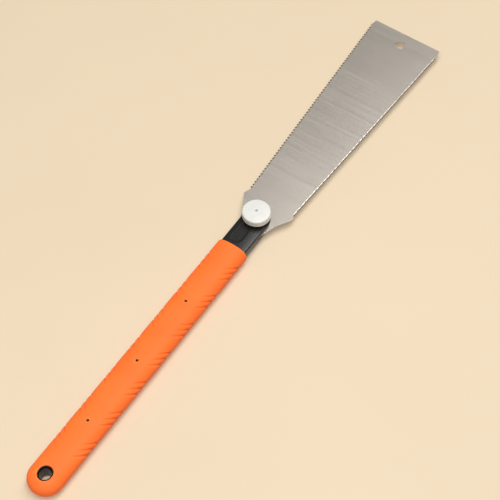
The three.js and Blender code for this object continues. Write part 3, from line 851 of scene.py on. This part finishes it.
def eye_side(skin, outline, ring, side):
    """Joins a ring on the grip's widest line to the hanging hole's lip, above or below it."""
    shares = [math.sin(math.pi / 2 * i / EYE_ROWS) for i in range(EYE_ROWS)]
    rows = [eye_ring(outline, share, side) for share in shares[::-1]]
    rows += [eye_lip(outline, turn, side) for turn in quarter_angles()[1:]]
    for row in rows:
        after = skin.ring(row)
        skin.join(ring, after)
        ring = after
    return ring


def make_grip():
    """One closed skin: the long part section by section, then rings round the hanging hole."""
    skin = Skin()
    columns = [skin.ring(column) for column in grip_columns()]
    skin.faces.append(tuple(columns[0]))
    for first, second in zip(columns, columns[1:]):
        skin.join(first, second)
    last = columns[-1]
    half = GRIP_TURN_STEPS // 2
    over = [last[i] for i in range(half + 1)]
    under = [last[-i] for i in range(half + 1)]
    outline = [skin.points[i][:2] for i in over] + tail_edge()
    edge = skin.ring([(x, y, 0.0) for x, y in tail_edge()])
    upper_lip = eye_side(skin, outline, over + edge, 1)
    lower_lip = eye_side(skin, outline, under + edge, -1)
    skin.join(upper_lip, lower_lip)
    grip = add_piece("grip_skin", skin.points, skin.faces, GRIP_SHARP_ANGLE)
    reach = GRIP_HALF_THICKNESS + REACH
    hole = [(PIN_HOLE_RADIUS, -reach), (PIN_HOLE_RADIUS, reach)]
    cutters = [turned("pin_hole", hole, x, steps=SMALL_ROUND_STEPS) for x in PIN_HOLE_XS]
    return combined(grip, "DIFFERENCE", cutters + core_shapes(GAP), GRIP_SHARP_ANGLE)


# ---- Core ----


def core_shapes(grow):
    """The parts of the core inside the grip, grown on every side, to join or to cut with."""
    neck_rear_x = HEAD_REAR_X - NECK_LENGTH
    neck_y, neck_z = NECK_HALF_WIDTH + grow, NECK_HALF_THICKNESS + grow
    spine_y, spine_z = SPINE_HALF_WIDTH + grow, SPINE_HALF_THICKNESS + grow
    web_radius = WEB_RADIUS + grow
    return [
        block("neck", neck_rear_x - grow, HEAD_REAR_X + REACH, neck_y, -neck_z, neck_z),
        block("spine", EYE_X, neck_rear_x + REACH, spine_y, -spine_z, spine_z),
        ring_loft("web", eye_rings([(web_radius, -spine_z), (web_radius, spine_z)])),
    ]


def head_outline(inset):
    """The head seen from above, drawn in by that much: straight sides and a round front."""
    half_width = HEAD_HALF_WIDTH - inset
    rear_x = HEAD_REAR_X + min(inset, HEAD_EDGE_RADIUS)
    side = [i / HEAD_SIDE_STEPS for i in range(HEAD_SIDE_STEPS)]
    rear = [i / HEAD_REAR_STEPS for i in range(HEAD_REAR_STEPS)]
    points = [(rear_x * (1 - share), -half_width) for share in side]
    for i in range(HEAD_FRONT_STEPS + 1):
        angle = math.pi * i / HEAD_FRONT_STEPS - math.pi / 2
        points.append((half_width * math.cos(angle), half_width * math.sin(angle)))
    points += [(rear_x * share, half_width) for share in side[1:]]
    points += [(rear_x, half_width * (1 - 2 * share)) for share in rear]
    return points


def head_top(x, y):
    """The head's crowned top, with the flat, soft-edged panel sunk into it."""
    crowned = HEAD_HALF_THICKNESS - HEAD_CROWN * (y / HEAD_HALF_WIDTH) ** 2
    middle_x = (PANEL_FRONT_X + PANEL_REAR_X) / 2
    straight = (PANEL_FRONT_X - PANEL_REAR_X) / 2 - PANEL_HALF_WIDTH
    beyond = max(abs(x - middle_x) - straight, 0)
    inside = PANEL_HALF_WIDTH - math.hypot(beyond, y - PANEL_Y)
    sunk = eased(min(max(inside / PANEL_SOFTNESS + 0.5, 0), 1))
    return crowned - sunk * max(crowned - HEAD_HALF_THICKNESS + PANEL_DEPTH, 0)


def head_rings():
    """The head from the middle of its underside round its edge to the middle of its top."""
    insets = [HEAD_HALF_WIDTH - AXIS_RADIUS - HEAD_ROW * i for i in range(HEAD_ROWS)]
    rows = [(inset, 0.0) for inset in insets if inset > HEAD_EDGE_RADIUS]
    for turn in quarter_angles():
        inset = HEAD_EDGE_RADIUS * (1 - math.sin(turn))
        rows.append((inset, HEAD_EDGE_RADIUS * (1 - math.cos(turn))))
    upper = [
        [(x, y, head_top(x, y) - drop) for x, y in head_outline(inset)] for inset, drop in rows
    ]
    lower = [[(x, y, -z) for x, y, z in ring] for ring in upper]
    return lower + upper[::-1]


def eye_lining():
    """The black lining of the hanging hole, thinned to a fine rim at both ends."""
    outer = EYE_RADIUS - GAP
    inner = outer - EYE_WALL
    high, flare = EYE_HALF_HEIGHT, EYE_HALF_HEIGHT - EYE_FLARE
    rim = outer - EYE_RIM
    profile = filleted([
        (outer, -high, 0.1), (outer, high, 0.1), (rim, high, 0.15),
        (inner, flare, 0.8), (inner, -flare, 0.8), (rim, -high, 0.15),
    ])
    return ring_loft("lining", eye_rings(profile), closed=True)


def core_studs():
    """Posts of the core that show black in the grip's pin-holes."""
    profile = pin_profile(STUD_RADIUS, -STUD_HALF_HEIGHT, STUD_HALF_HEIGHT)
    return [turned("stud", profile, x, steps=SMALL_ROUND_STEPS) for x in PIN_HOLE_XS]


def make_core():
    """The head, the parts inside the grip and the hanging hole's lining, cut for the clamp."""
    head = ring_loft("core_body", head_rings())
    core = combined(head, "UNION", core_shapes(0))
    eye = EYE_RADIUS - GAP - LINING_OVERLAP
    through = GRIP_HALF_THICKNESS + REACH
    core = combined(core, "DIFFERENCE", [
        ring_loft("eye_hole", eye_rings([(eye, -through), (eye, through)])),
    ])
    core = combined(core, "UNION", [eye_lining(), *core_studs()])
    high = HEAD_HALF_THICKNESS + REACH
    pin = PIN_HIGH.z + GAP
    counterbore = BOLT_HIGH.y + GAP
    reach = HEAD_HALF_WIDTH + REACH
    fork = FORK_HALF_HEIGHT
    bolt = BOLT_HOLE_RADIUS
    return combined(core, "DIFFERENCE", [
        block("fork", CHEEK_FRONT_X, reach, reach, -fork, fork),
        block("pocket", POCKET_REAR_X, CHEEK_FRONT_X + REACH, POCKET_HALF_WIDTH, -fork, fork),
        turned("bolt_hole", [(bolt, 0), (bolt, high)]),
        block("square_hole", -bolt, bolt, bolt, -high, 0),
        turned("counterbore", [(counterbore, -high), (counterbore, BOLT_SEAT_Z + GAP)]),
        turned("pin_hole", [(bolt, -pin), (bolt, pin)], PIN_X),
    ])


# ---- Clamp ----


def square_point(angle, half, corner_radius):
    """Where a ray at that angle meets a square with rounded corners."""
    ray = Vector((abs(math.cos(angle)), abs(math.sin(angle))))
    reach = half / max(ray.x, ray.y)
    inner = half - corner_radius
    if min(ray.x, ray.y) * reach > inner:
        centre = Vector((inner, inner))
        along = ray.dot(centre)
        reach = along + math.sqrt(along**2 - centre.length_squared + corner_radius**2)
    return reach


def bolt_ring(radius_at, z):
    """A ring of the bolt, whose radius depends on the angle."""
    angles = circle_angles(BOLT_STEPS)
    return [(radius_at(a) * math.cos(a), radius_at(a) * math.sin(a), z) for a in angles]


def bolt_circle(radius, z):
    """A round ring of the bolt."""
    return bolt_ring(lambda angle: radius, z)


def bolt_square(half, z):
    """A ring round the bolt's square neck."""
    return bolt_ring(lambda angle: square_point(angle, half, BOLT_NECK_ROUNDING), z)


def bolt_thread(z):
    """A ring through the right-hand thread, which is flat at its root."""
    def radius_at(angle):
        phase = (z / THREAD_PITCH - angle / (2 * math.pi)) % 1
        return BOLT_RADIUS - THREAD_DEPTH * min(1, THREAD_STEEPNESS * abs(2 * phase - 1))

    return bolt_ring(radius_at, z)


def bolt_head():
    """Rings of the domed head, from its lowest point up to its seat."""
    radius = BOLT_HIGH.y
    edge_z = BOLT_SEAT_Z - BOLT_HEAD_EDGE
    rings = []
    for i in range(BOLT_HEAD_ROWS + 1):
        angle = BOLT_HEAD_START + (math.pi / 2 - BOLT_HEAD_START) * i / BOLT_HEAD_ROWS
        z = edge_z + (BOLT_LOW.z - edge_z) * math.cos(angle)
        rings.append(bolt_circle(radius * math.sin(angle), z))
    rings.append(bolt_circle(radius, BOLT_SEAT_Z - BOLT_CHAMFER))
    rings.append(bolt_circle(radius - BOLT_CHAMFER, BOLT_SEAT_Z))
    return rings


def make_bolt():
    """A carriage bolt: domed head, square neck and a cut thread with a groove for its clip."""
    end, tip, top = THREAD_END_RADIUS, BOLT_TIP_RADIUS, BOLT_HIGH.z
    neck_taper = BOLT_RADIUS - end
    rings = bolt_head()
    rings += [bolt_square(BOLT_RADIUS, z) for z in (BOLT_SEAT_Z, BOLT_NECK_TOP_Z - neck_taper)]
    rings.append(bolt_square(end, BOLT_NECK_TOP_Z))
    groove_low, groove_high = CLIP_LOW.z - CLIP_GROOVE_GAP, CLIP_HIGH.z + CLIP_GROOVE_GAP
    z = BOLT_NECK_TOP_Z + BOLT_CHAMFER
    while z < groove_low - BOLT_CHAMFER:
        rings.append(bolt_thread(z))
        z += THREAD_PITCH / THREAD_ROWS
    profile = [
        (end, groove_low), (CLIP_GROOVE_RADIUS, groove_low), (CLIP_GROOVE_RADIUS, groove_high),
        (tip, groove_high), (tip, top - (tip - end)), (end, top),
    ]
    rings += [bolt_circle(radius, z) for radius, z in profile]
    return ring_loft("bolt", rings)


def make_pin():
    """The steel dowel across the fork."""
    profile = pin_profile(PIN_HIGH.y, PIN_LOW.z, PIN_HIGH.z)
    return turned("pin", profile, PIN_X)


def open_ring(name, inner, outer, z_low, z_high, mouth, rise=0.0):
    """A ring of rectangular section, open by twice the angle mouth and climbing by rise."""
    corners = ((inner, z_low), (outer, z_low), (outer, z_high), (inner, z_high))
    section = filleted([(*corner, RING_ROUNDING) for corner in corners])
    rings = []
    for i in range(RING_STEPS + 1):
        share = i / RING_STEPS
        angle = mouth + (2 * math.pi - 2 * mouth) * share
        lift = rise * (share - 0.5)
        rings.append([(r * math.cos(angle), r * math.sin(angle), z + lift) for r, z in section])
    return ring_loft(name, rings)


def make_spring_washer():
    """A split washer whose ends stand one above the other."""
    low, high = SPRING_LOW.z + SPRING_RISE / 2, SPRING_HIGH.z - SPRING_RISE / 2
    return open_ring(
        "lock_washer", BOLT_HOLE_RADIUS, SPRING_HIGH.y, low, high, SPRING_MOUTH, SPRING_RISE,
    )


def make_clip():
    """The open ring that keeps the knob on its bolt."""
    inner = CLIP_GROOVE_RADIUS + GAP
    return open_ring("clip", inner, CLIP_HIGH.y, CLIP_LOW.z, CLIP_HIGH.z, CLIP_MOUTH)


def make_washer():
    """A stamped washer, rounder on the side that the punch left."""
    profile = filleted([
        (BOLT_HOLE_RADIUS, WASHER_LOW.z, 0.15), (WASHER_HIGH.y, WASHER_LOW.z, 0.2),
        (WASHER_HIGH.y, WASHER_HIGH.z, 0.3), (BOLT_HOLE_RADIUS, WASHER_HIGH.z, 0.15),
    ])
    return turned("washer", profile, closed=True)


def hex_prism(name, across_flats, z_low, z_high):
    """A hexagonal prism with two of its corners on the X axis."""
    corner = across_flats / math.sqrt(3)
    return turned(name, [(corner, z_low), (corner, z_high)], steps=6)


def make_nut():
    """A turned hexagon nut with chamfered corners."""
    low, high = NUT_LOW.z, NUT_HIGH.z
    flat, corner = NUT_HIGH.y, NUT_HIGH.x
    face = flat - NUT_CHAMFER_WIDTH
    nut = hex_prism("nut", 2 * flat, low, high)
    cone = turned("cone", [
        (face, low), (corner, low + NUT_CHAMFER_HEIGHT),
        (corner, high - NUT_CHAMFER_HEIGHT), (face, high),
    ])
    bore = turned("bore", [(BOLT_HOLE_RADIUS, low - REACH), (BOLT_HOLE_RADIUS, high + REACH)])
    nut = combined(nut, "INTERSECT", [cone])
    return combined(nut, "DIFFERENCE", [bore], NUT_SHARP_ANGLE)


def make_knob_base():
    """The rim under the knob's cap, with a hexagonal pocket that turns the nut."""
    radius, low, high = BASE_HIGH.y, BASE_LOW.z, BASE_HIGH.z
    profile = filleted([
        (BOLT_HOLE_RADIUS, low, 0.1), (radius - BASE_BEVEL_WIDTH, low, 0.3),
        (radius, low + BASE_BEVEL_HEIGHT, 0.5), (radius, high, 0.25),
        (BOLT_HOLE_RADIUS, high, 0.1),
    ])
    rim = turned("knob_rim", profile, closed=True, steps=KNOB_STEPS)
    pocket = hex_prism("pocket", 2 * NUT_HIGH.y + 2 * GAP, NUT_LOW.z - GAP, high + REACH)
    return combined(rim, "DIFFERENCE", [pocket])


def knob_top(radius):
    """The height of the knob's dome, with the shallow rings that turning left on its mould."""
    share = (radius - DIMPLE_RADIUS) / (CAP_HIGH.y - KNOB_EDGE_RADIUS - DIMPLE_RADIUS)
    away = [(radius - ring) / KNOB_RING_WIDTH for ring in KNOB_RING_RADII]
    rings = sum(KNOB_RING_DEPTH * math.exp(-(distance**2)) for distance in away)
    return CAP_HIGH.z - KNOB_DOME * share**2 - rings


def dimple_profile():
    """The knob's dimple from its rim in towards the axis, as (radius, z)."""
    profile = []
    for i in range(1, KNOB_EDGE_STEPS + 1):
        share = i / KNOB_EDGE_STEPS
        radius = DIMPLE_RIM_RADIUS + (AXIS_RADIUS / 2 - DIMPLE_RIM_RADIUS) * share
        profile.append((radius, CAP_HIGH.z - DIMPLE_DEPTH * eased(share)))
    return profile


def make_knob_cap():
    """A shallow domed cap, hollow over the end of the bolt, with a dimple in its middle."""
    radius, low = CAP_HIGH.y, CAP_LOW.z
    ceiling = CAP_HIGH.z - KNOB_WALL
    edge = radius - KNOB_EDGE_RADIUS
    round_z = knob_top(edge) - KNOB_EDGE_RADIUS
    profile = filleted([
        (AXIS_RADIUS, ceiling, 0), (KNOB_CAVITY_RADIUS, ceiling, 0.4),
        (KNOB_CAVITY_RADIUS, low, 0.1), (radius, low, 0.25), (radius, round_z, 0),
    ])
    for turn in quarter_angles(KNOB_EDGE_STEPS)[1:]:
        at = edge + KNOB_EDGE_RADIUS * math.cos(turn)
        profile.append((at, round_z + KNOB_EDGE_RADIUS * math.sin(turn)))
    for i in range(1, KNOB_TOP_STEPS + 1):
        at = edge + (DIMPLE_RIM_RADIUS - edge) * i / KNOB_TOP_STEPS
        profile.append((at, knob_top(at)))
    return turned("knob_top", profile + dimple_profile(), steps=KNOB_STEPS)


# ---- Stage ----


def make_camera():
    """The photograph's view of the saw, from behind and above the handle."""
    angles = (CAMERA_AZIMUTH, CAMERA_ELEVATION, CAMERA_ROLL)
    azimuth, elevation, roll = (math.radians(angle) for angle in angles)
    back = Vector((
        math.sin(azimuth) * math.cos(elevation),
        -math.cos(azimuth) * math.cos(elevation),
        math.sin(elevation),
    ))
    level = Vector((math.cos(azimuth), math.sin(azimuth), 0))
    upright = back.cross(level)
    right = level * math.cos(roll) + upright * math.sin(roll)
    up = upright * math.cos(roll) - level * math.sin(roll)
    camera = bpy.data.cameras.new("camera")
    camera.sensor_width = CAMERA_SENSOR
    camera.lens = CAMERA_LENS
    camera.clip_start = 0.1
    camera.clip_end = 20
    holder = new_object("camera", camera)
    turn = Matrix((right, up, back)).transposed().to_4x4()
    offset = back * CAMERA_BACK + right * CAMERA_RIGHT + up * CAMERA_UP
    holder.matrix_world = Matrix.Translation(CENTRE + offset * MM) @ turn
    bpy.context.scene.camera = holder


def soft_light(name, place, width, height, watts):
    """A rectangular lamp that faces the frame's origin, under the middle of the saw."""
    lamp = bpy.data.lights.new(name, "AREA")
    lamp.shape = "RECTANGLE"
    lamp.size = width
    lamp.size_y = height
    lamp.energy = watts
    lamp.color = LAMP_COLOUR
    holder = new_object(name, lamp)
    holder.location = place
    holder.rotation_euler = (-Vector(place)).to_track_quat("-Z", "Y").to_euler()


def make_lights():
    """A large soft light over the handle, and a smaller one beyond the knob that the blade and
    the head mirror."""
    soft_light("fill", (-0.6, -0.3, 2.1), 1.6, 1.6, 44)
    soft_light("softbox", (0.68, -0.08, 1.86), 0.7, 1.5, 18)


def make_world():
    """An even pale studio all round, a little brighter overhead."""
    world = bpy.data.worlds.new("studio")
    bpy.context.scene.world = world
    world.use_nodes = True
    tree = world.node_tree
    place = tree.nodes.new("ShaderNodeTexCoord")
    parts = tree.nodes.new("ShaderNodeSeparateXYZ")
    tree.links.new(place.outputs["Generated"], parts.inputs[0])
    ramp = tree.nodes.new("ShaderNodeValToRGB")
    for element, colour in zip(ramp.color_ramp.elements, SKY_COLOURS):
        element.color = (*colour, 1)
    tree.links.new(parts.outputs["Z"], ramp.inputs["Fac"])
    tree.links.new(ramp.outputs["Color"], tree.nodes["Background"].inputs["Color"])


def make_floor():
    """A plain pale table top."""
    half, z = TABLE_HALF_WIDTH, cad_box[0].z - TABLE_DROP
    corners = [(-half, -half, z), (half, -half, z), (half, half, z), (-half, half, z)]
    mesh = bpy.data.meshes.new("table")
    mesh.from_pydata(corners, [], [(0, 1, 2, 3)])
    table = new_object("table", mesh)
    s = Surface("table", (0.62, 0.51, 0.37), Roughness=0.6, Emission_Strength=0.2)
    s.shader.inputs["Emission Color"].default_value = (1, 0.86, 0.66, 1)
    tone = s.noise(300, detail=3)
    s.colour(s.mixed(s.spread(tone, 0.3, 0.7), (0.49, 0.395, 0.275), (0.51, 0.415, 0.29)))
    table.data.materials.append(s.material)


# ---- The saw ----

make_camera()
make_world()
make_lights()
make_floor()

steel, black, orange = blade_steel(), black_plastic(), orange_rubber()
white, zinc, brass = white_plastic(), zinc_steel(), nut_brass()

blade = finished(make_blade(), steel, "blade", "blade_steel", "blade")
blade.data.materials.append(tooth_steel())
finished(make_core(), black, "handle", "black_plastic", "handle_core")
finished(make_grip(), orange, "handle", "orange_rubber", "grip_sleeve")
finished(make_bolt(), zinc, "handle", "zinc_steel", "clamp_bolt")
finished(make_pin(), zinc, "handle", "zinc_steel", "tang_pin")
finished(make_clip(), zinc, "handle", "zinc_steel", "bolt_clip")
finished(make_washer(), zinc, "washers", "zinc_steel", "flat_washer")
finished(make_spring_washer(), zinc, "washers", "zinc_steel", "spring_washer")
finished(make_knob_base(), white, "knob", "white_plastic", "knob_base")
finished(make_nut(), brass, "knob", "nut_brass", "knob_nut")
finished(make_knob_cap(), white, "knob", "white_plastic", "knob_cap")

bpy.context.scene.view_settings.view_transform = "Standard"
